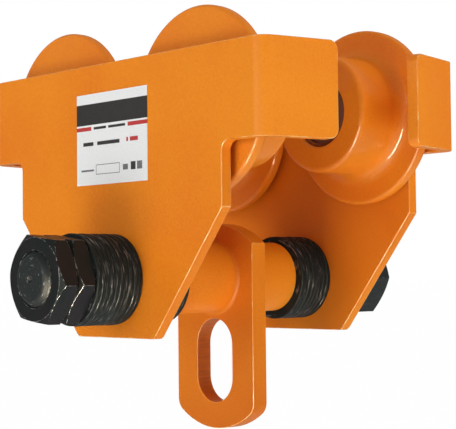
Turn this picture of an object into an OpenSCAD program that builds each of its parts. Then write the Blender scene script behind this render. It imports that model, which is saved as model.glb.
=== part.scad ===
// Plain (push) beam trolley, 1 t class.
// X runs along the beam, Y across it, Z up.
// The origin is the middle of the wheels' running plane: z = 0 is the top of the beam's lower flange.

/* [Setting for the beam] */
// Clear distance between the two side plates
plate_gap = 129; // [125:0.5:150]
// Washers between the nuts and the front plate
outer_front_count = 10; // [4:1:12]
// Washers between the front plate and the load bar
inner_front_count = 9; // [4:1:12]
// Washers between the load bar and the rear plate
inner_rear_count = 8; // [4:1:12]
// Washers between the rear plate and the bolt head
outer_rear_count = 10; // [4:1:12]

/* [Side plates] */
// Sheet thickness
plate_t = 6; // [5:0.5:7]
// Top edge above the running plane
plate_top = 56; // [50:0.5:62]
// Lower edge of the wide top band
band_low = 9.5; // [6:0.5:14]
// Half length of the flat plate below the band
side_half = 81; // [76:0.5:86]
// Height of the corner where the sides start to taper
knee_z = -21.5; // [-26:0.5:-16]
// Bottom edge
foot_z = -84.5; // [-92:0.5:-82]
// Half length of the bottom edge before its corners are broken
foot_half = 30.7; // [28:0.1:40]
// Half length of the straight part of the top band
bend_x = 100.7; // [96:0.1:102]
// Angle through which each end is bent towards the beam
bend_angle = 77.4; // [70:0.1:85]
// Outside radius of the bend
bend_r = 9; // [8:0.5:12]
// Straight length of a bent end, from the bend to the tip
tab_len = 35.3; // [24:0.1:36]
// Corner radius at the tips of the bent ends
tip_r = 4.5; // [1:0.5:8]

/* [Wheels] */
// Half of the wheelbase
wheel_x = 53.6; // [50:0.1:56]
// Radius of the tread
tread_r = 31; // [28:0.5:33]
// Radius of the flange
flange_r = 47; // [42:0.5:48]
// Flange thickness
flange_t = 6.5; // [4:0.5:8]
// Gap from the side plate to the flange
wheel_gap = 3.2; // [2.5:0.1:5]
// Width of the whole wheel
wheel_w = 37; // [33:0.5:38]
// Concave radius between tread and flange
tread_fillet = 7; // [3:0.5:9]

/* [Suspension bolt] */
// Height of the bolt's axis
bolt_z = -54.5; // [-58:0.5:-52]
// Thread diameter
bolt_d = 27; // [24:1:27]
// Width across the flats of head and nuts
hex_af = 41; // [38:0.5:42]
// Thickness of each nut
nut_t = 10.5; // [8:0.5:14]
// Thickness of the head
head_t = 17; // [14:0.5:18]
// Bolt end beyond the outer nut
bolt_proud = 2.8; // [1:0.1:6]
// Outside diameter of the spacing washers
washer_od = 45.8; // [42:0.1:47]
// Pitch of the stacked washers
washer_pitch = 2.8; // [2:0.1:3]

/* [Load bar] */
// Outside diameter of the load bar's tube
bar_d = 38; // [36:0.5:40]
// Play of the load bar between its washers, at each end
bar_play = 0.2; // [0.1:0.05:0.5]
// Thickness of the eye plate
eye_t = 9.8; // [8:0.1:12]
// Width of the eye plate
eye_w = 59.8; // [56:0.1:64]
// Top of the eye plate above the bolt's axis
eye_top = 28.8; // [27:0.1:30]
// Bottom of the eye plate below the bolt's axis
eye_low = 80.8; // [76:0.1:90]
// Radius of the curved top and bottom edges
eye_arc_r = 46; // [40:1:60]
// Radius of the eye plate's lower corners
eye_corner_r = 8; // [3:0.5:12]
// Width of the slot
slot_w = 27.5; // [20:0.5:30]
// Length of the slot
slot_len = 44.8; // [36:0.1:46]
// Middle of the slot below the bolt's axis
slot_low = 44.5; // [42:0.1:48]
// Middle of the eye plate across the beam
eye_y = 2.3; // [-4:0.1:6]

/* [Rating label] */
// Width of the label
label_w = 57.6; // [40:0.1:60]
// Height of the label
label_h = 47.3; // [30:0.1:50]
// Middle of the label along the beam
label_x = -1.6; // [-10:0.1:10]
// Middle of the label above the running plane
label_z = 17.4; // [12:0.1:22]

/* [Hidden] */
SIDES = ["front", "rear"];
ENDS = ["left", "right"];
$fn = 96;

PAINT = [0.90, 0.45, 0.08];
BLACK = [0.10, 0.10, 0.11];
STEEL = [0.70, 0.71, 0.73];
RUBBER = [0.16, 0.13, 0.11];
PAPER = [0.95, 0.95, 0.93];

// Side plates
inner_y = plate_gap / 2;
outer_y = inner_y + plate_t;
bend_in_r = bend_r - plate_t;
band_h = plate_top - band_low;
notch_r = 5;
foot_cut = 1.2;
plate_bore_r = 14;

// Stack along the bolt: distances are measured along Y
washer_t = washer_pitch - 0.08;
washer_bore_r = 14.2;
washer_drop = 0.5;
washer_shift = 0.3;
nuts_y = -outer_y - outer_front_count * washer_pitch;
bolt_end_y = nuts_y - 2 * nut_t - bolt_proud;
head_y = outer_y + outer_rear_count * washer_pitch;
head_face_t = 0.8;
nut_turn = 7.9;
head_turn = 3.1;
thread_pitch = 3;
thread_depth = 1.6;
thread_len = 62;
running_gap = 0.05;
// Gap left between parts that are pressed, seated or welded together
seat_gap = 0.02;

// Load bar
bar_front_y = -inner_y + inner_front_count * washer_pitch + bar_play;
bar_rear_y = inner_y - inner_rear_count * washer_pitch - bar_play;
bar_bore_r = bolt_d / 2 + running_gap;
weld_leg = 1.8;

// Sealed ball bearing, 15 x 35 x 11
bearing_bore = 15;
bearing_od = 35;
bearing_w = 11;
ball_count = 8;
ball_d = 5.95;
pitch_r = 12.5;
ball_r = ball_d / 2;
race_r = ball_r + running_gap;
inner_land_r = 10.1;
outer_land_r = 14.9;
seal_t = 0.8;
seal_set = 0.3;
cage_w = 7.6;
cage_half = 0.8;

// Wheel: u is the distance from the side plate's inner face towards the beam's web
flange_u = wheel_gap;
tread_u = flange_u + flange_t;
face_u = wheel_gap + wheel_w;
bearing_u = 25;
bearing_end_u = bearing_u + bearing_w;
bearing_mid_u = bearing_u + bearing_w / 2;
seat_r = bearing_od / 2 + seat_gap;
mouth_r = 18.4;
back_bore_r = 13;
clip_t = 1.4;
clip_slot_w = 1.6;
clip_groove_r = 18.5;

// Axle
axle_r = bearing_bore / 2;
shoulder_r = 9.5;
axle_end_u = bearing_end_u + 3.4;
axle_groove_r = 7.1;
axle_weld_leg = 2.8;

label_t = 0.25;

function side_sign(side) = side == "front" ? -1 : 1;
function end_sign(end) = end == "left" ? -1 : 1;

// Turns a solid made about Z so that its local Z runs along +Y.
module along_y(y) {
    translate([0, y, 0]) rotate([-90, 0, 0]) children();
}

// Places a wheel part: local Z runs from the side plate's inner face towards the web.
module at_wheel(side, end) {
    turn = side == "front" ? -90 : 90;
    translate([end_sign(end) * wheel_x, side_sign(side) * inner_y, tread_r])
        rotate([turn, 0, 0]) children();
}

// Square with a quarter circle taken out, for rounding an outline's corner.
module corner_2d(r) {
    difference() {
        square(r + 0.5);
        circle(r);
    }
}

// Ring of rectangular section between two radii, from z0 to z1.
module ring(r_in, r_out, z0, z1) {
    translate([0, 0, z0]) difference() {
        cylinder(r = r_out, h = z1 - z0);
        translate([0, 0, -1]) cylinder(r = r_in, h = z1 - z0 + 2);
    }
}

// ---- side plates ----

// Region on the web's side of a bent sheet, seen from above: x along the beam, y across it.
// The sheet is what lies between this region at its outer radius and at its inner radius.
// The bend stands a hair proud of both flat faces, so that their edges are clean.
module channel_region(r, y_top, tab_reach) {
    deep = 45;
    hair = 0.02;
    translate([-bend_x, y_top - deep]) square([2 * bend_x, deep]);
    for (s = [-1, 1]) scale([s, 1]) translate([bend_x, outer_y - bend_r]) {
        circle(r + hair);
        rotate(-bend_angle) translate([0, r - deep]) square([tab_reach, deep]);
    }
}

// Puts a cutter at the outer face of a bent end: x runs to the tip, y up the band.
module at_tab(s) {
    scale([s, 1, 1]) translate([bend_x, outer_y - bend_r, band_low]) rotate([0, 0, -bend_angle])
        translate([0, bend_r + 1, 0]) rotate([90, 0, 0]) linear_extrude(plate_t + 2) children();
}

// The wide top band with both ends bent in.
module band() {
    difference() {
        translate([0, 0, band_low]) linear_extrude(band_h) difference() {
            channel_region(bend_r, outer_y, tab_len);
            channel_region(bend_in_r, inner_y, tab_len + 5);
        }
        for (s = [-1, 1]) at_tab(s) {
            translate([tab_len - tip_r, band_h - tip_r]) corner_2d(tip_r);
            translate([tab_len - tip_r, tip_r]) scale([1, -1]) corner_2d(tip_r);
        }
    }
}

// Outline of the flat plate below the band, seen from the side: x along the beam, y up.
module apron_outline() {
    lap = 12;
    difference() {
        union() {
            polygon([
                [side_half, band_low + lap],
                [side_half, knee_z],
                [foot_half + foot_cut * 0.8, foot_z + foot_cut],
                [foot_half - foot_cut * 0.6, foot_z],
                [-foot_half + foot_cut * 0.6, foot_z],
                [-foot_half - foot_cut * 0.8, foot_z + foot_cut],
                [-side_half, knee_z],
                [-side_half, band_low + lap]
            ]);
            translate([-side_half - notch_r, band_low - notch_r])
                square([2 * (side_half + notch_r), notch_r + lap]);
        }
        for (s = [-1, 1])
            translate([s * (side_half + notch_r), band_low - notch_r]) circle(notch_r);
    }
}

module side_plate(sign) {
    color(PAINT) scale([1, sign, 1]) difference() {
        union() {
            band();
            translate([0, outer_y, 0]) rotate([90, 0, 0]) linear_extrude(plate_t) apron_outline();
        }
        translate([0, inner_y - 1, bolt_z]) rotate([-90, 0, 0]) cylinder(r = plate_bore_r, h = plate_t + 2);
    }
}

module rating_label() {
    color(PAPER) translate([label_x - label_w / 2, -outer_y - label_t, label_z - label_h / 2])
        cube([label_w, label_t, label_h]);
}

// ---- suspension bolt, nuts and washers ----

// Hexagon with its corners turned off to 30 degrees at the ends named in chamfers.
module hexagon(af, h, turn, chamfers) {
    corner_r = af / sqrt(3);
    face_r = af / 2 - 0.2;
    drop = (corner_r + 1 - face_r) * tan(30);
    low = chamfers[0] ? drop : 0;
    high = chamfers[1] ? drop : 0;
    low_r = chamfers[0] ? face_r : corner_r + 1;
    high_r = chamfers[1] ? face_r : corner_r + 1;
    intersection() {
        rotate([0, 0, turn]) cylinder(r = corner_r, h = h, $fn = 6);
        rotate_extrude() polygon([
            [0, 0], [low_r, 0], [corner_r + 1, low],
            [corner_r + 1, h - high], [high_r, h], [0, h]
        ]);
    }
}

// Outline of the threaded end: rings stand in for the helix.
function thread_points(r, depth, pitch, z0, count) = [
    for (i = [0 : count - 1]) each [
        [r, z0 + i * pitch],
        [r, z0 + i * pitch + pitch * 0.2],
        [r - depth, z0 + i * pitch + pitch * 0.55],
        [r - depth, z0 + i * pitch + pitch * 0.65]
    ]
];

module suspension_bolt() {
    r = bolt_d / 2;
    end_r = r - thread_depth - 2.4;
    end_h = 3.2;
    count = floor(thread_len / thread_pitch);
    thread_top = end_h + count * thread_pitch;
    length = head_y - bolt_end_y;
    dimple_r = 2.2;
    color(BLACK) translate([0, 0, bolt_z]) union() {
        along_y(bolt_end_y) rotate_extrude() polygon(concat(
            [[0, dimple_r], [dimple_r, 0], [end_r, 0], [end_r + 1.4, 0.35], [end_r + 2.5, 1.2]],
            thread_points(r, thread_depth, thread_pitch, end_h, count),
            [[r, thread_top], [r, length + 1], [0, length + 1]]
        ));
        along_y(head_y) cylinder(r = hex_af / 2 - 1, h = head_face_t);
        along_y(head_y + head_face_t) hexagon(hex_af, head_t, head_turn, [false, true]);
    }
}

module hex_nut(y) {
    color(BLACK) translate([0, 0, bolt_z]) along_y(y) difference() {
        hexagon(hex_af, nut_t, nut_turn, [true, true]);
        translate([0, 0, -1]) cylinder(r = bolt_d / 2 + running_gap, h = nut_t + 2);
        for (z = [0, nut_t]) translate([0, 0, z]) rotate_extrude() polygon([
            [0, -1.3], [bolt_d / 2 - 0.6, -1.3], [bolt_d / 2 + 0.7, 0], [bolt_d / 2 - 0.6, 1.3], [0, 1.3]
        ]);
    }
}

module clamp_nut() { hex_nut(nuts_y - nut_t + 0.03); }

module lock_nut() { hex_nut(nuts_y - 2 * nut_t); }

// One stamped washer, its outer corners slightly rounded off.
module washer() {
    r = washer_od / 2;
    c = 0.45;
    rotate_extrude() polygon([
        [washer_bore_r, 0], [r - c, 0], [r, c],
        [r, washer_t - c], [r - c, washer_t], [washer_bore_r, washer_t]
    ]);
}

// Washers hang on the bolt by their bores, each a little off centre.
module washer_stack(y, count, seed) {
    color(BLACK) for (i = [0 : count - 1])
        translate([washer_shift * sin(seed + 97 * i), 0, bolt_z - washer_drop + 0.12 * cos(seed + 151 * i)])
            along_y(y + i * washer_pitch + 0.04) washer();
}

module washers_outer_front() { washer_stack(nuts_y, outer_front_count, 20); }

module washers_inner_front() { washer_stack(-inner_y, inner_front_count, 75); }

module washers_inner_rear() {
    washer_stack(inner_y - inner_rear_count * washer_pitch, inner_rear_count, 140);
}

module washers_outer_rear() { washer_stack(outer_y, outer_rear_count, 200); }

// ---- load bar ----

module load_bar_tube() {
    c = 0.6;
    length = bar_rear_y - bar_front_y;
    r = bar_d / 2;
    color(PAINT) translate([0, 0, bolt_z]) along_y(bar_front_y) rotate_extrude() polygon([
        [bar_bore_r, c], [bar_bore_r + c, 0], [r - c, 0], [r, c],
        [r, length - c], [r - c, length], [bar_bore_r + c, length], [bar_bore_r, length - c]
    ]);
}

// What to cut off a corner between a straight side and an arc centred at [-x, -y] from here.
// The round stands a hair proud of both, so that their edges are clean.
module corner_wedge(r, x, y) {
    hair = 0.02;
    far = 3 * r;
    toward = far / sqrt(x ^ 2 + y ^ 2);
    difference() {
        polygon([[0, 0], [far, 0], [far, -far], [x * toward, y * toward]]);
        circle(r + hair);
    }
}

// Outline of the eye plate about the bolt's axis: straight sides and curved ends.
module eye_outline() {
    middle = (eye_top - eye_low) / 2;
    reach = (eye_top + eye_low) / 2 - eye_arc_r;
    slot_end = (slot_len - slot_w) / 2;
    corner_x = eye_w / 2 - eye_corner_r;
    corner_y = middle - reach - sqrt((eye_arc_r - eye_corner_r) ^ 2 - corner_x ^ 2);
    difference() {
        intersection() {
            translate([-eye_w / 2, -eye_low]) square([eye_w, eye_top + eye_low]);
            union() {
                translate([0, middle + reach]) circle(eye_arc_r);
                translate([0, middle - reach]) circle(eye_arc_r);
                translate([-eye_w / 2, middle - reach]) square([eye_w, 2 * reach]);
            }
        }
        for (s = [-1, 1]) scale([s, 1]) translate([corner_x, corner_y])
            corner_wedge(eye_corner_r, corner_x, corner_y - middle + reach);
        circle(bar_d / 2 + seat_gap);
        for (s = [-1, 1]) translate([0, -slot_low + s * slot_end]) circle(slot_w / 2);
        translate([-slot_w / 2, -slot_low - slot_end]) square([slot_w, 2 * slot_end]);
    }
}

module eye_plate() {
    color(PAINT) translate([0, eye_y + eye_t / 2, bolt_z]) rotate([90, 0, 0])
        linear_extrude(eye_t) eye_outline();
}

// Hollow-faced fillet of weld metal round a shaft, on the plane z = 0.
module weld_ring(r, leg) {
    rotate_extrude() difference() {
        translate([r + seat_gap, 0]) square(leg);
        translate([r + seat_gap + leg * 1.25, leg * 1.25]) circle(leg * 1.25);
    }
}

module eye_plate_welds() {
    color(PAINT) translate([0, eye_y, bolt_z]) for (s = [-1, 1]) scale([1, s, 1])
        along_y(eye_t / 2) weld_ring(bar_d / 2, weld_leg);
}

// ---- wheels ----

// Half section of the wheel: x is the radius, y runs from the plate to the web.
module wheel_section() {
    rim_r = 2;
    edge_r = 2.6;
    difference() {
        union() {
            translate([0, flange_u]) square([flange_r, flange_t]);
            translate([0, flange_u]) square([tread_r, wheel_w]);
            translate([tread_r - 0.5, tread_u - 0.5]) square(tread_fillet + 0.5);
        }
        translate([tread_r + tread_fillet, tread_u + tread_fillet]) circle(tread_fillet);
        translate([flange_r - rim_r, tread_u - rim_r]) corner_2d(rim_r);
        translate([flange_r - rim_r, flange_u + rim_r]) scale([1, -1]) corner_2d(rim_r);
        translate([tread_r - edge_r, face_u - edge_r]) corner_2d(edge_r);
        translate([-1, flange_u - 1]) square([back_bore_r + 1, wheel_w + 2]);
        translate([-1, bearing_u]) square([seat_r + 1, wheel_w]);
        translate([-1, bearing_end_u + seat_gap]) square([clip_groove_r + 1, clip_slot_w]);
        translate([0, face_u]) polygon([[0, -1.0], [seat_r, -1.0], [mouth_r, 0], [mouth_r, 1], [0, 1]]);
    }
}

module wheel(side, end) {
    color(PAINT) at_wheel(side, end) rotate_extrude() wheel_section();
}

module outer_ring(side, end) {
    color(STEEL) at_wheel(side, end) difference() {
        ring(outer_land_r, bearing_od / 2, bearing_u + seat_gap, bearing_end_u);
        translate([0, 0, bearing_mid_u]) rotate_extrude() translate([pitch_r, 0]) circle(race_r);
        for (u = [bearing_u - seal_t, bearing_end_u - seal_set - seal_t])
            translate([0, 0, u]) cylinder(r = outer_land_r + 0.7, h = 2 * seal_t + seal_set);
    }
}

module inner_ring(side, end) {
    color(STEEL) at_wheel(side, end) difference() {
        ring(axle_r + seat_gap, inner_land_r, bearing_u, bearing_end_u);
        translate([0, 0, bearing_mid_u]) rotate_extrude() translate([pitch_r, 0]) circle(race_r);
    }
}

module seals(side, end) {
    seal_r = outer_land_r + 0.68;
    lip_r = inner_land_r + 0.15;
    color(RUBBER) at_wheel(side, end) {
        ring(lip_r, seal_r, bearing_u + seal_set, bearing_u + seal_set + seal_t - seat_gap);
        ring(lip_r, seal_r, bearing_end_u - seal_set - seal_t + seat_gap, bearing_end_u - seal_set);
    }
}

module balls(side, end) {
    color(STEEL) at_wheel(side, end) for (i = [0 : ball_count - 1])
        rotate([0, 0, i * 360 / ball_count]) translate([pitch_r, 0, bearing_mid_u]) sphere(ball_r, $fn = 48);
}

module cage(side, end) {
    low = bearing_mid_u - cage_w / 2;
    color("goldenrod") at_wheel(side, end) difference() {
        ring(pitch_r - cage_half, pitch_r + cage_half, low, low + cage_w);
        for (i = [0 : ball_count - 1]) rotate([0, 0, i * 360 / ball_count])
            translate([pitch_r - 3, 0, bearing_mid_u]) rotate([0, 90, 0]) cylinder(r = ball_r + 0.1, h = 6);
    }
}

// Spring ring with a gap at its open side and an eye at each end of the gap.
module snap_ring(r_in, r_out, lug_r, lug_at, thickness) {
    gap = 16;
    lug_turn = gap + 9;
    hole_r = 0.9;
    linear_extrude(thickness) difference() {
        union() {
            difference() {
                circle(r_out);
                circle(r_in);
            }
            for (s = [-1, 1]) rotate(s * lug_turn) translate([lug_at, 0]) circle(lug_r);
        }
        polygon([[0, 0], [40, -40 * tan(gap)], [40, 40 * tan(gap)]]);
        for (s = [-1, 1]) rotate(s * lug_turn) translate([lug_at, 0]) circle(hole_r);
    }
}

module retaining_ring(side, end) {
    color(BLACK) at_wheel(side, end) translate([0, 0, bearing_end_u + 0.12]) rotate([0, 0, 205])
        snap_ring(15.6, 18.4, 2.1, 15.3, clip_t);
}

module axle(side, end) {
    c = 0.8;
    groove_u = bearing_end_u + seat_gap;
    color(BLACK) at_wheel(side, end) rotate_extrude() polygon([
        [0, 0], [shoulder_r, 0], [shoulder_r, bearing_u - seat_gap], [axle_r, bearing_u - seat_gap],
        [axle_r, groove_u], [axle_groove_r, groove_u],
        [axle_groove_r, groove_u + 1.15], [axle_r, groove_u + 1.15],
        [axle_r, axle_end_u - c], [axle_r - c, axle_end_u], [0, axle_end_u]
    ]);
}

module axle_welds() {
    color(PAINT) for (side = SIDES) for (end = ENDS)
        at_wheel(side, end) weld_ring(shoulder_r, axle_weld_leg);
}

module axle_circlips() {
    color(BLACK) for (side = SIDES) for (end = ENDS)
        at_wheel(side, end) translate([0, 0, bearing_end_u + 0.08]) rotate([0, 0, 60])
            snap_ring(axle_groove_r + 0.03, 9.3, 1.8, 9.2, 1);
}

// ---- nodes ----

side_plate(-1);  // side_plate_front
side_plate(1);  // side_plate_rear
rating_label();
suspension_bolt();
clamp_nut();
lock_nut();
washers_outer_front();
washers_inner_front();
washers_inner_rear();
washers_outer_rear();
load_bar_tube();
eye_plate();
eye_plate_welds();
axle_welds();
axle_circlips();
for (side = SIDES) for (end = ENDS) {
    at = str("_", side, "_", end);
    axle(side, end);
    wheel(side, end);
    inner_ring(side, end);
    outer_ring(side, end);
    seals(side, end);
    retaining_ring(side, end);
    balls(side, end);
    cage(side, end);
}
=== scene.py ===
"""Looks of the beam trolley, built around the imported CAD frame. Metres, row frame."""
import math

import bpy
from mathutils import Matrix, Vector


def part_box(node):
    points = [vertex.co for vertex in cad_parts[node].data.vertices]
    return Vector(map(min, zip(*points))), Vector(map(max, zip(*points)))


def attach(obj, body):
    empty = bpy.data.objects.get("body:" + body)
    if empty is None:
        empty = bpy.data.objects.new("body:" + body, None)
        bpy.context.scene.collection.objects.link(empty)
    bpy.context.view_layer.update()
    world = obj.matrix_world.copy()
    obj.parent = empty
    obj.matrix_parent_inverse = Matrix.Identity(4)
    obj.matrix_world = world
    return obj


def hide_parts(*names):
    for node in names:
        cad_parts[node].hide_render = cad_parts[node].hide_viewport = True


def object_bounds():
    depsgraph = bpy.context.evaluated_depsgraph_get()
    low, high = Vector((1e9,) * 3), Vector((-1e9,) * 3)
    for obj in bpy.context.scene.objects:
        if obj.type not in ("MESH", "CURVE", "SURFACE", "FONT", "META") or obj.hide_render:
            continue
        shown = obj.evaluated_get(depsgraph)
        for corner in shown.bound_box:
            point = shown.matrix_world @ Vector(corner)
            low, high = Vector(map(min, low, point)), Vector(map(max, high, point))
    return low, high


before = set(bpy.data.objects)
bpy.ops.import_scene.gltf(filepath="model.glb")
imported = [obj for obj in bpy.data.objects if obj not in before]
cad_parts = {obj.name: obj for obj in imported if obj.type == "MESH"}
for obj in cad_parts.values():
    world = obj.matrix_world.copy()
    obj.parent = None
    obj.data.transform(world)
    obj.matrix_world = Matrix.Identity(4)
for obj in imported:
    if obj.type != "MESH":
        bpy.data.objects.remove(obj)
CAD_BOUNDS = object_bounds()

MM = 0.001

# The eye plate's slot, its depth below the bolt, and how far round the slot the enamel takes to fade
# into its painted shade at the foot
SLOT_WIDTH = 27.5 * MM
SLOT_STRAIGHT = 17.3 * MM
SLOT_DROP = 44.5 * MM
EYE_SHADE_FADE = 34.0 * MM

# Widths of the rounded edges
PLATE_EDGE = 0.45 * MM
EYE_EDGE = 0.40 * MM
BLACK_EDGE = 0.22 * MM

SIDES = ("front", "rear")
ENDS = ("left", "right")
CORNERS = [f"{side}_{end}" for side in SIDES for end in ENDS]

# Sizes of the noise patterns, in cells per metre
DRIFT = 14.0
PEEL = 420.0
GRAIN = 1100.0

# Linear colours
ORANGE = (0.88, 0.276, 0.012)
ORANGE_DEEP = (0.80, 0.192, 0.008)
# Pale enamel of the sharp edges: thin paint and painted highlight lines
ORANGE_PALE_HIGHLIGHT = (0.93, 0.55, 0.18)
# Painted shade: darker enamel for the lower part of the eye plate
EYE_SHADED = (0.70, 0.185, 0.010)
EYE_SHADED_DEEP = (0.63, 0.135, 0.008)
BLACK_OXIDE = (0.011, 0.016, 0.015)
BROWN_OXIDE = (0.018, 0.016, 0.017)
WORN_STEEL = (0.60, 0.60, 0.58)
# Grey of the washers' scuffs: worn steel and painted highlight lines
SCUFFED_OXIDE_HIGHLIGHT = (0.24, 0.24, 0.23)
BEARING_STEEL = (0.55, 0.56, 0.58)
BEARING_STAIN = (0.30, 0.29, 0.28)
# Scorched colour of the slot's cut wall, darkened as painted shade of the slot
SCORCHED_AND_SHADED = (0.47, 0.105, 0.018)
SCORCHED_AND_SHADED_PALE = (0.74, 0.175, 0.018)
RUBBER = (0.15, 0.036, 0.018)
RUBBER_PALE = (0.18, 0.065, 0.036)
CAGE_STEEL = (0.36, 0.33, 0.28)
CAGE_STAIN = (0.20, 0.18, 0.15)
AXLE_STEEL = (0.30, 0.30, 0.30)
AXLE_STAIN = (0.12, 0.10, 0.09)
SPRING_STEEL = (0.26, 0.11, 0.055)
SPRING_STAIN = (0.15, 0.060, 0.030)
FILM_WHITE = (0.88, 0.88, 0.87)
PRINT_BLACK = (0.016, 0.014, 0.014)
PRINT_RED = (0.50, 0.022, 0.020)


def centre(node):
    low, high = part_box(node)
    return (low + high) / 2


WHEEL_AXIS = centre("wheel_front_right")
BOLT_AXIS = centre("suspension_bolt")
BOLT_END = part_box("suspension_bolt")[0].y


# ---- small helpers for materials ----

class Finish:
    """One procedural material: adds nodes and wires them to a Principled shader."""

    def __init__(self, name, roughness=0.5, metallic=0.0):
        self.material = bpy.data.materials.new(name)
        self.material.use_nodes = True
        self.tree = self.material.node_tree
        self.shader = self.tree.nodes["Principled BSDF"]
        self.constant("Roughness", roughness)
        self.constant("Metallic", metallic)
        self.place = self.node("TexCoord").outputs["Object"]

    def constant(self, socket, value):
        self.shader.inputs[socket].default_value = value

    def node(self, kind, **settings):
        made = self.tree.nodes.new("ShaderNode" + kind)
        for key, value in settings.items():
            setattr(made, key, value)
        return made

    def wire(self, source, target):
        if isinstance(source, bpy.types.NodeSocket):
            self.tree.links.new(source, target)
        else:
            target.default_value = source

    def maths(self, operation, first, second=0.0):
        made = self.node("Math", operation=operation)
        self.wire(first, made.inputs[0])
        self.wire(second, made.inputs[1])
        return made.outputs[0]

    def noise(self, scale, detail=3.0, rough=0.55, place=None):
        made = self.node("TexNoise")
        made.inputs["Scale"].default_value = scale
        made.inputs["Detail"].default_value = detail
        made.inputs["Roughness"].default_value = rough
        self.wire(place or self.place, made.inputs["Vector"])
        return made.outputs["Fac"]

    def streaks(self, coordinates, scales, detail=2.0):
        """Noise over three coordinates, each with its own number of cells per unit."""
        scaled = [self.maths("MULTIPLY", value, scale) for value, scale in zip(coordinates, scales)]
        return self.noise(1.0, detail, place=self.vector(*scaled))

    def spread(self, value, low, high, to_low=0.0, to_high=1.0):
        made = self.node("MapRange", clamp=True)
        self.wire(value, made.inputs["Value"])
        made.inputs["From Min"].default_value = low
        made.inputs["From Max"].default_value = high
        made.inputs["To Min"].default_value = to_low
        made.inputs["To Max"].default_value = to_high
        return made.outputs["Result"]

    def blend(self, amount, first, second):
        made = self.node("Mix", data_type="RGBA")
        self.wire(amount, made.inputs["Factor"])
        for colour, socket in ((first, made.inputs[6]), (second, made.inputs[7])):
            self.wire((*colour, 1.0) if isinstance(colour, tuple) else colour, socket)
        return made.outputs[2]

    def about_axis(self, centre_x, centre_z, mirrored=False):
        """Radius, distance along Y and angle about an axis parallel to Y, in metres and radians."""
        parts = self.node("SeparateXYZ")
        self.wire(self.place, parts.inputs[0])
        x = self.maths("ABSOLUTE", parts.outputs["X"]) if mirrored else parts.outputs["X"]
        x = self.maths("SUBTRACT", x, centre_x)
        z = self.maths("SUBTRACT", parts.outputs["Z"], centre_z)
        return self.length(x, z), parts.outputs["Y"], self.maths("ARCTAN2", z, x)

    def length(self, x, z):
        square = self.maths("ADD", self.maths("MULTIPLY", x, x), self.maths("MULTIPLY", z, z))
        return self.maths("SQRT", square)

    def vector(self, x, y, z):
        made = self.node("CombineXYZ")
        for value, socket in zip((x, y, z), made.inputs):
            self.wire(value, socket)
        return made.outputs[0]

    def bump(self, height, strength, distance, after=None):
        made = self.node("Bump")
        made.inputs["Strength"].default_value = strength
        made.inputs["Distance"].default_value = distance
        self.wire(height, made.inputs["Height"])
        if after is not None:
            self.wire(after, made.inputs["Normal"])
        return made.outputs["Normal"]

    def colour(self, value):
        self.wire(value, self.shader.inputs["Base Color"])

    def roughness(self, value):
        self.wire(value, self.shader.inputs["Roughness"])

    def normal(self, value):
        self.wire(value, self.shader.inputs["Normal"])


def mottle(finish):
    """Slow drift of tone and fine grain, from 0 to 1."""
    slow = finish.maths("MULTIPLY", finish.noise(DRIFT, detail=2.0), 0.45)
    grain = finish.maths("MULTIPLY", finish.noise(GRAIN, detail=3.0, rough=0.7), 0.55)
    return finish.spread(finish.maths("ADD", slow, grain), 0.36, 0.64)


def orange_peel(finish, strength=0.25):
    return finish.bump(finish.noise(PEEL, detail=1.5), strength, 0.05 * MM)


def enamel(name, peel=0.25):
    """Satin orange enamel: slow drift of tone, fine mottling and orange peel."""
    finish = Finish(name)
    finish.constant("Specular IOR Level", 0.15)
    finish.constant("Coat Weight", 0.08)
    finish.constant("Coat Roughness", 0.18)
    finish.colour(finish.blend(mottle(finish), ORANGE_DEEP, ORANGE))
    finish.roughness(finish.spread(finish.noise(60.0), 0.3, 0.7, 0.42, 0.56))
    finish.normal(orange_peel(finish, peel))
    return finish


def enamel_edge_highlight(name):
    """Thin enamel over a sharp edge, worn through in places, pale along it as painted highlight."""
    finish = Finish(name)
    finish.constant("Coat Weight", 0.8)
    finish.constant("Coat Roughness", 0.06)
    broken = finish.noise(160.0, detail=4.0)
    # Pale where the enamel is thin, and painted highlight along the edge
    finish.colour(finish.blend(finish.spread(broken, 0.50, 0.68), ORANGE, ORANGE_PALE_HIGHLIGHT))
    finish.roughness(finish.spread(broken, 0.4, 0.7, 0.32, 0.2))
    return finish


def eye_enamel_with_shade(name):
    """Enamel on the eye plate, darkened towards its foot as painted shade, and thin over the drag lines
    of the cut slot, whose wall is darkened as painted shade too.
    """
    finish = enamel(name)
    parts = finish.node("SeparateXYZ")
    finish.wire(finish.place, parts.inputs[0])
    across = finish.maths("SUBTRACT", parts.outputs["X"], BOLT_AXIS.x)
    up = finish.maths("SUBTRACT", parts.outputs["Z"], BOLT_AXIS.z - SLOT_DROP)
    beyond = finish.maths("SUBTRACT", finish.maths("ABSOLUTE", up), SLOT_STRAIGHT / 2)
    beyond = finish.maths("MAXIMUM", beyond, 0.0)
    reach = finish.length(across, beyond)
    wall = finish.spread(reach, SLOT_WIDTH / 2 + 0.05 * MM, SLOT_WIDTH / 2 + 0.30 * MM, 1.0, 0.0)
    lines = finish.streaks(parts.outputs, (1500.0, 60.0, 1500.0))
    # The slot wall: drag lines of the cut, in a scorched colour darkened as painted shade
    cut = finish.blend(finish.spread(lines, 0.15, 0.85), SCORCHED_AND_SHADED, SCORCHED_AND_SHADED_PALE)
    upper = finish.blend(mottle(finish), ORANGE_DEEP, ORANGE)
    # Painted shade: the eye plate's enamel turns darker towards its foot
    shaded_foot = finish.blend(mottle(finish), EYE_SHADED_DEEP, EYE_SHADED)
    skin = finish.blend(finish.spread(up, -EYE_SHADE_FADE, EYE_SHADE_FADE), shaded_foot, upper)
    finish.colour(finish.blend(wall, skin, cut))
    grooves = finish.maths("MULTIPLY", lines, wall)
    finish.normal(finish.bump(grooves, 0.5, 0.2 * MM, orange_peel(finish)))
    return finish


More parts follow.
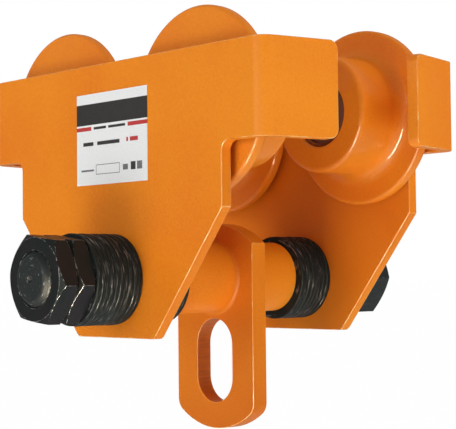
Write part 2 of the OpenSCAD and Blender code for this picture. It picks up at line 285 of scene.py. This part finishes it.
def turned_enamel(name):
    """Enamel over a turned casting: faint tool marks around the wheel's axis."""
    finish = enamel(name)
    finish.constant("Coat Weight", 0.45)
    finish.constant("Coat Roughness", 0.06)
    turned = finish.about_axis(WHEEL_AXIS.x, WHEEL_AXIS.z, mirrored=True)
    marks = finish.streaks(turned, (1900.0, 1900.0, 0.6))
    finish.normal(finish.bump(marks, 0.22, 0.05 * MM, orange_peel(finish, 0.2)))
    return finish


def black_oxide(name):
    """Oiled black oxide: brownish drift, tool marks round the bolt's axis."""
    finish = Finish(name, metallic=0.18)
    finish.constant("Specular IOR Level", 0.18)
    drift = finish.noise(45.0, detail=3.0)
    finish.colour(finish.blend(finish.spread(drift, 0.42, 0.68), BLACK_OXIDE, BROWN_OXIDE))
    finish.roughness(finish.spread(finish.noise(240.0, detail=4.0), 0.3, 0.7, 0.30, 0.50))
    turned = finish.about_axis(BOLT_AXIS.x, BOLT_AXIS.z)
    marks = finish.streaks(turned, (2600.0, 900.0, 1.2), detail=3.0)
    pits = finish.bump(finish.noise(GRAIN, detail=2.0), 0.25, 0.04 * MM)
    finish.normal(finish.bump(marks, 0.5, 0.06 * MM, pits))
    return finish


def turned_oxide(name):
    """Black oxide over the bolt's turned end: rings of tool marks, chipped bright here and there."""
    finish = black_oxide(name)
    finish.constant("Specular IOR Level", 0.35)
    turned = finish.about_axis(BOLT_AXIS.x, BOLT_AXIS.z)
    chips = finish.streaks(turned, (1500.0, 120.0, 3.0), detail=3.0)
    rings = finish.streaks(turned, (1300.0, 0.0, 0.0), detail=1.0)
    near_end = finish.spread(turned[1], BOLT_END + 4 * MM, BOLT_END + 8 * MM, 1.0, 0.0)
    bare = finish.maths("MULTIPLY", finish.spread(chips, 0.64, 0.74), near_end)
    finish.colour(finish.blend(bare, BLACK_OXIDE, WORN_STEEL))
    finish.wire(bare, finish.shader.inputs["Metallic"])
    finish.roughness(finish.spread(chips, 0.45, 0.70, 0.50, 0.26))
    finish.normal(finish.bump(rings, 0.6, 0.30 * MM, finish.bump(chips, 0.4, 0.10 * MM)))
    return finish


def washer_oxide_highlight(name):
    """Black oxide with fine broken scuffs along each washer's rim, grey as worn steel and as painted
    highlight lines.
    """
    finish = black_oxide(name)
    finish.constant("Specular IOR Level", 0.15)
    radius, along, angle = finish.about_axis(BOLT_AXIS.x, BOLT_AXIS.z)
    scuffs = finish.streaks((along, radius, angle), (2600.0, 300.0, 2.6))
    rubbed = finish.spread(scuffs, 0.60, 0.72)
    # Grey scuff lines: worn steel and painted highlight
    finish.colour(finish.blend(rubbed, BLACK_OXIDE, SCUFFED_OXIDE_HIGHLIGHT))
    finish.wire(finish.maths("MULTIPLY", rubbed, 0.3), finish.shader.inputs["Metallic"])
    finish.roughness(finish.spread(scuffs, 0.50, 0.66, 0.62, 0.30))
    return finish


def worn_edge(name):
    """Edge of a black part, rubbed bright in places."""
    finish = Finish(name, metallic=0.9)
    broken = finish.noise(420.0, detail=5.0)
    finish.colour(finish.blend(finish.spread(broken, 0.46, 0.60), BLACK_OXIDE, WORN_STEEL))
    finish.roughness(finish.spread(broken, 0.4, 0.7, 0.5, 0.25))
    return finish


def steel(name, base, stain_colour, roughness):
    """Turned or ground steel with marks about its wheel's axis."""
    finish = Finish(name, metallic=1.0)
    turned = finish.about_axis(WHEEL_AXIS.x, WHEEL_AXIS.z, mirrored=True)
    marks = finish.streaks(turned, (4200.0, 4200.0, 0.8), detail=3.0)
    stain = finish.noise(130.0, detail=4.0)
    finish.colour(finish.blend(finish.spread(stain, 0.35, 0.7), base, stain_colour))
    finish.roughness(finish.spread(marks, 0.2, 0.8, roughness * 0.7, roughness * 1.4))
    finish.normal(finish.bump(marks, 0.3, 0.02 * MM))
    return finish


def moulded_rubber(name):
    """Matt rubber of the bearings' seals, finely mottled."""
    finish = Finish(name)
    finish.constant("Specular IOR Level", 0.35)
    dust = finish.noise(500.0, detail=4.0)
    finish.colour(finish.blend(dust, RUBBER, RUBBER_PALE))
    finish.roughness(finish.spread(dust, 0.3, 0.7, 0.55, 0.8))
    finish.normal(finish.bump(dust, 0.3, 0.03 * MM))
    return finish


def print_film(name, ink, paler):
    """Printed film: slight mottling of the ink and a satin skin."""
    finish = Finish(name)
    finish.constant("Coat Weight", 0.15)
    finish.constant("Coat Roughness", 0.25)
    speckle = finish.noise(1500.0, detail=3.0)
    finish.colour(finish.blend(finish.spread(speckle, 0.4, 0.75), ink, paler))
    finish.roughness(finish.spread(finish.noise(90.0), 0.3, 0.7, 0.45, 0.6))
    finish.normal(finish.bump(finish.noise(260.0), 0.08, 0.04 * MM))
    return finish


# ---- meshes ----

# Angles in degrees: faces this flat are joined, and edges this sharp are rounded
FLAT_WITHIN = 0.5
SHARP_FROM = 28.0
EDGE_SLOT = 1


def give(node, *finishes):
    """Puts materials on a CAD node's slots: the first is its skin, the second its edges."""
    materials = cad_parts[node].data.materials
    materials[0] = finishes[0].material
    for finish in finishes[1:]:
        materials.append(finish.material)


def round_edges(node, width):
    """Rounds a CAD node's sharp edges, so that they catch the light in the edge slot's material."""
    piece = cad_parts[node]
    weld = piece.modifiers.new("weld", "WELD")
    weld.merge_threshold = 0.002 * MM
    planar = piece.modifiers.new("planar", "DECIMATE")
    planar.decimate_type = "DISSOLVE"
    planar.angle_limit = math.radians(FLAT_WITHIN)
    bevel = piece.modifiers.new("bevel", "BEVEL")
    bevel.width = width
    bevel.segments = 2
    bevel.limit_method = "ANGLE"
    bevel.angle_limit = math.radians(SHARP_FROM)
    bevel.material = EDGE_SLOT
    bevel.use_clamp_overlap = True
    shade = piece.modifiers.new("normals", "WEIGHTED_NORMAL")
    shade.keep_sharp = False
    shade.weight = 100


def mesh_piece(name, verts, faces, finishes, body, smooth=True):
    """A new mesh piece in the row frame that rides on a body."""
    mesh = bpy.data.meshes.new(name)
    mesh.from_pydata(verts, [], faces)
    mesh.update()
    for finish in finishes:
        mesh.materials.append(finish.material)
    mesh.polygons.foreach_set("use_smooth", [smooth] * len(mesh.polygons))
    piece = bpy.data.objects.new(name, mesh)
    bpy.context.scene.collection.objects.link(piece)
    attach(piece, body)
    return piece


# ---- rating label ----

# Printed areas: left, right, bottom and top as shares of the label's width and height, then the ink.
LABEL_PRINT = (
    (0.00, 1.00, 0.660, 0.890, "black"),
    (0.00, 0.215, 0.597, 0.640, "red"),
    (0.735, 1.00, 0.597, 0.640, "red"),
    (0.250, 0.430, 0.604, 0.632, "black"),
    (0.460, 0.700, 0.604, 0.632, "black"),
    (0.095, 0.245, 0.430, 0.470, "black"),
    (0.300, 0.620, 0.430, 0.470, "black"),
    (0.715, 0.740, 0.435, 0.480, "red"),
    (0.765, 0.875, 0.435, 0.480, "red"),
    (0.065, 0.250, 0.150, 0.170, "grey"),
    (0.280, 0.620, 0.212, 0.219, "grey"),
    (0.280, 0.620, 0.110, 0.117, "grey"),
    (0.280, 0.286, 0.110, 0.219, "grey"),
    (0.614, 0.620, 0.110, 0.219, "grey"),
    (0.665, 0.735, 0.135, 0.195, "grey"),
    (0.775, 0.840, 0.130, 0.215, "black"),
    (0.860, 0.930, 0.130, 0.215, "grey"),
)
INKS = ("film", "black", "red", "grey")


def ink_at(across, up):
    """The ink printed at a point of the label, given as shares of its width and height."""
    found = "film"
    for left, right, bottom, top, ink in LABEL_PRINT:
        if left < across < right and bottom < up < top:
            found = ink
    return INKS.index(found)


def build_label():
    """One film whose front is cut along the borders of its printed areas."""
    low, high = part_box("rating_label")
    lefts = sorted({0.0, 1.0} | {share for area in LABEL_PRINT for share in area[0:2]})
    ups = sorted({0.0, 1.0} | {share for area in LABEL_PRINT for share in area[2:4]})
    size = high - low
    verts = [(low.x + across * size.x, low.y, low.z + up * size.z) for up in ups for across in lefts]
    faces = []
    inks = []
    columns = len(lefts)
    for row in range(len(ups) - 1):
        for column in range(columns - 1):
            first = row * columns + column
            faces.append((first, first + 1, first + columns + 1, first + columns))
            across = (lefts[column] + lefts[column + 1]) / 2
            up = (ups[row] + ups[row + 1]) / 2
            inks.append(ink_at(across, up))
    finishes = (
        print_film("label_film", FILM_WHITE, (0.80, 0.80, 0.79)),
        print_film("label_black", PRINT_BLACK, (0.030, 0.028, 0.028)),
        print_film("label_red", PRINT_RED, (0.56, 0.05, 0.045)),
        print_film("label_grey", (0.10, 0.10, 0.10), (0.25, 0.25, 0.25)),
    )
    label = mesh_piece("label", verts, faces, finishes, "frame", smooth=False)
    label.data.polygons.foreach_set("material_index", inks)
    thickness = label.modifiers.new("film", "SOLIDIFY")
    thickness.thickness = size.y
    thickness.offset = -1.0
    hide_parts("rating_label")


# ---- weld beads ----

BEAD_ROUNDS = 288
BEAD_STEPS = 9
BEAD_HOLLOW = 0.16
BEAD_RIPPLE = 0.012


def bead_point(middle, out, radius, leg, ripples, turn, share):
    """A point of a rippled weld: share runs from the plate, at 0, to the shaft, at 1."""
    wobble = 1 + 0.05 * math.sin(3 * turn + 0.7) + 0.04 * math.sin(7 * turn + 2.0)
    bow = math.sin(math.pi * share)
    crest = math.sin(ripples * turn + 1.3 * bow + 0.5 * math.sin(5 * turn))
    swell = leg * wobble * bow * (BEAD_RIPPLE * crest - BEAD_HOLLOW)
    away = radius + max(leg * wobble * (1 - share) + swell, 0.0)
    along = leg * wobble * share + swell
    return (middle.x + away * math.cos(turn), middle.y + out * along, middle.z + away * math.sin(turn))


def bead_ring(name, middle, out, radius, leg, ripples, finish):
    """A fillet weld round a shaft parallel to Y, on the face whose outward side is out."""
    verts = []
    faces = []
    for i in range(BEAD_ROUNDS):
        turn = 2 * math.pi * i / BEAD_ROUNDS
        for j in range(BEAD_STEPS):
            verts.append(bead_point(middle, out, radius, leg, ripples, turn, j / (BEAD_STEPS - 1)))
        for j in range(BEAD_STEPS - 1):
            here = i * BEAD_STEPS + j
            there = ((i + 1) % BEAD_ROUNDS) * BEAD_STEPS + j
            quad = (here, there, there + 1, here + 1)
            faces.append(quad if out < 0 else quad[::-1])
    return mesh_piece(name, verts, faces, (finish,), "load_bar")


def build_welds(finish):
    """The two welds between the tube and the eye plate, in place of the CAD's plain cones."""
    eye_low, eye_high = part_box("eye_plate")
    tube_low, tube_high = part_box("load_bar_tube")
    radius = (tube_high.x - tube_low.x) / 2
    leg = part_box("eye_plate_welds")[1].y - eye_high.y
    axis = centre("load_bar_tube")
    for side, face, out, ripples in (("front", eye_low.y, -1, 46), ("rear", eye_high.y, 1, 44)):
        middle = Vector((axis.x, face, axis.z))
        bead = bead_ring(f"eye_weld_{side}", middle, out, radius, leg, ripples, finish)
        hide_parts("eye_plate_welds")


# ---- light, floor and camera ----

# Angles in degrees, the lens in millimetres, distances in metres
CAMERA_AZIMUTH = 47.15
CAMERA_ELEVATION = -2.49
CAMERA_ROLL = -0.61
CAMERA_DISTANCE = 0.75
CAMERA_LENS = 110.74
TARGET_OFFSET = Vector((0.0109, 0.0013, 0.0076))
ROOM_LOW = 0.24
ROOM_HIGH = 0.26
FLOOR_GLOW = 0.93
FLOOR_DROP = 0.90
FLOOR_REACH = 150.0
STRIP_COLOUR = (1.0, 0.88, 0.66)


def around(azimuth, elevation, distance):
    """A point round the object: azimuth 0 is the front, 90 the right."""
    a = math.radians(azimuth)
    e = math.radians(elevation)
    return Vector((math.sin(a) * math.cos(e), -math.cos(a) * math.cos(e), math.sin(e))) * distance


def add_camera():
    low, high = CAD_BOUNDS
    target = (Vector(low) + Vector(high)) / 2 + TARGET_OFFSET
    back = around(CAMERA_AZIMUTH, CAMERA_ELEVATION, 1.0)
    right = Vector((0, 0, 1)).cross(back).normalized()
    up = back.cross(right)
    turn = Matrix((right, up, back)).transposed() @ Matrix.Rotation(math.radians(CAMERA_ROLL), 3, "Z")
    data = bpy.data.cameras.new("camera")
    data.lens = CAMERA_LENS
    data.sensor_width = 36.0
    data.clip_start = 0.01
    data.clip_end = 600.0
    camera = bpy.data.objects.new("camera", data)
    camera.matrix_world = Matrix.Translation(target + back * CAMERA_DISTANCE) @ turn.to_4x4()
    bpy.context.scene.collection.objects.link(camera)
    bpy.context.scene.camera = camera


def soft_light(name, azimuth, elevation, distance, width, height, power):
    """A softbox aimed at the object; azimuth 0 is the front, 90 the right."""
    data = bpy.data.lights.new(name, "AREA")
    data.shape = "RECTANGLE"
    data.size = width
    data.size_y = height
    data.energy = power
    light = bpy.data.objects.new(name, data)
    place = around(azimuth, elevation, distance)
    light.location = place
    light.rotation_euler = (-place).to_track_quat("-Z", "Y").to_euler()
    light.visible_camera = False
    bpy.context.scene.collection.objects.link(light)
    return light


def add_world():
    """A white backdrop for the camera, and a dim room, brighter overhead, for everything else."""
    world = bpy.data.worlds.new("studio")
    world.use_nodes = True
    tree = world.node_tree
    room = tree.nodes["Background"]
    room.inputs["Strength"].default_value = 1.0
    place = tree.nodes.new("ShaderNodeTexCoord")
    parts = tree.nodes.new("ShaderNodeSeparateXYZ")
    ramp = tree.nodes.new("ShaderNodeMapRange")
    ramp.inputs["From Min"].default_value = -0.1
    ramp.inputs["From Max"].default_value = 0.9
    ramp.inputs["To Min"].default_value = ROOM_LOW
    ramp.inputs["To Max"].default_value = ROOM_HIGH
    backdrop = tree.nodes.new("ShaderNodeBackground")
    backdrop.inputs["Color"].default_value = (1.0, 1.0, 1.0, 1.0)
    rays = tree.nodes.new("ShaderNodeLightPath")
    choose = tree.nodes.new("ShaderNodeMixShader")
    tree.links.new(place.outputs["Generated"], parts.inputs[0])
    tree.links.new(parts.outputs["Z"], ramp.inputs["Value"])
    tree.links.new(ramp.outputs["Result"], room.inputs["Color"])
    tree.links.new(rays.outputs["Is Camera Ray"], choose.inputs[0])
    tree.links.new(room.outputs[0], choose.inputs[1])
    tree.links.new(backdrop.outputs[0], choose.inputs[2])
    tree.links.new(choose.outputs[0], tree.nodes["World Output"].inputs["Surface"])
    bpy.context.scene.world = world


def add_floor():
    """A pale floor that glows a little for the camera, so that it runs into the backdrop."""
    finish = Finish("floor_white", roughness=0.9)
    finish.constant("Specular IOR Level", 0.0)
    grain = finish.noise(6.0)
    finish.colour(finish.blend(grain, (0.88, 0.88, 0.88), (0.92, 0.92, 0.92)))
    glow = finish.node("Emission")
    glow.inputs["Strength"].default_value = 1.05
    rays = finish.node("LightPath")
    share = finish.maths("MULTIPLY", rays.outputs["Is Camera Ray"], FLOOR_GLOW)
    choose = finish.node("MixShader")
    finish.wire(share, choose.inputs[0])
    finish.wire(finish.shader.outputs[0], choose.inputs[1])
    finish.wire(glow.outputs[0], choose.inputs[2])
    finish.wire(choose.outputs[0], finish.tree.nodes["Material Output"].inputs["Surface"])
    drop = CAD_BOUNDS[0][2] - FLOOR_DROP
    corners = [(FLOOR_REACH * x, FLOOR_REACH * y, drop) for x, y in ((-1, -1), (1, -1), (1, 1), (-1, 1))]
    mesh = bpy.data.meshes.new("floor")
    mesh.from_pydata(corners, [], [(0, 1, 2, 3)])
    mesh.materials.append(finish.material)
    floor = bpy.data.objects.new("floor", mesh)
    bpy.context.scene.collection.objects.link(floor)


def add_lights():
    """Big softboxes for the shading, and a strip for the bright lines along rounded edges."""
    box = {"distance": 1.5, "width": 0.7, "height": 0.7}
    soft_light("key", azimuth=0, elevation=6, power=5.4, **box)
    for light in (
        soft_light("key_low", azimuth=0, elevation=-35, power=8.0, **box),
        soft_light("left", azimuth=-50, elevation=25, power=4.0, **box),
        soft_light("side", azimuth=92, elevation=6, power=3.6, **box),
        soft_light("side_low", azimuth=92, elevation=-35, power=8.2, **box),
        soft_light("back_high", azimuth=130, elevation=45, power=8.5, **box),
        soft_light("top", azimuth=50, elevation=50, power=2.4, **box),
        soft_light("behind", azimuth=210, elevation=8, power=7.0, **box),
    ):
        light.visible_glossy = False
    strip = soft_light("strip", azimuth=32, elevation=-33, distance=0.9, power=18.0,
                       width=0.09, height=0.75)
    strip.visible_diffuse = False
    strip.data.color = STRIP_COLOUR


# ---- build ----

def finish_painted_parts():
    """Side plates, load bar and welds in orange enamel."""
    paint = enamel("orange_enamel")
    edge = enamel_edge_highlight("orange_edge_highlight")
    for side in SIDES:
        give(f"side_plate_{side}", paint, edge)
        round_edges(f"side_plate_{side}", PLATE_EDGE)
    for node, skin in (("eye_plate", eye_enamel_with_shade("eye_enamel_with_shade")), ("load_bar_tube", paint)):
        give(node, skin, edge)
        round_edges(node, EYE_EDGE)
    give("axle_welds", paint)
    build_welds(enamel("weld_enamel", peel=0.4))


def finish_fasteners():
    """Bolt, nuts and washers in black oxide."""
    black = black_oxide("black_oxide")
    turned = turned_oxide("turned_oxide")
    rubbed = worn_edge("rubbed_edge")
    scuffed_highlight = washer_oxide_highlight("washer_oxide_highlight")
    for node, skin in (("suspension_bolt", turned), ("clamp_nut", black), ("lock_nut", black)):
        give(node, skin, rubbed)
        round_edges(node, BLACK_EDGE)
    for where in ("outer_front", "inner_front", "inner_rear", "outer_rear"):
        give(f"washers_{where}", scuffed_highlight)


def finish_rollers():
    """Rollers, their bearings, rings and axles."""
    spring = steel("spring_steel", SPRING_STEEL, SPRING_STAIN, roughness=0.45)
    bearing = steel("bearing_steel", BEARING_STEEL, BEARING_STAIN, roughness=0.22)
    finishes = {
        "wheel": turned_enamel("wheel_enamel"),
        "outer_ring": bearing,
        "inner_ring": bearing,
        "balls": bearing,
        "cage": steel("cage_steel", CAGE_STEEL, CAGE_STAIN, roughness=0.4),
        "seals": moulded_rubber("seal_rubber"),
        "retaining_ring": spring,
        "axle": steel("axle_steel", AXLE_STEEL, AXLE_STAIN, roughness=0.35),
    }
    for corner in CORNERS:
        for part, finish in finishes.items():
            give(f"{part}_{corner}", finish)
    give("axle_circlips", spring)


bpy.context.scene.view_settings.view_transform = "Standard"
add_world()
add_camera()
add_floor()
add_lights()
finish_painted_parts()
finish_fasteners()
finish_rollers()
build_label()
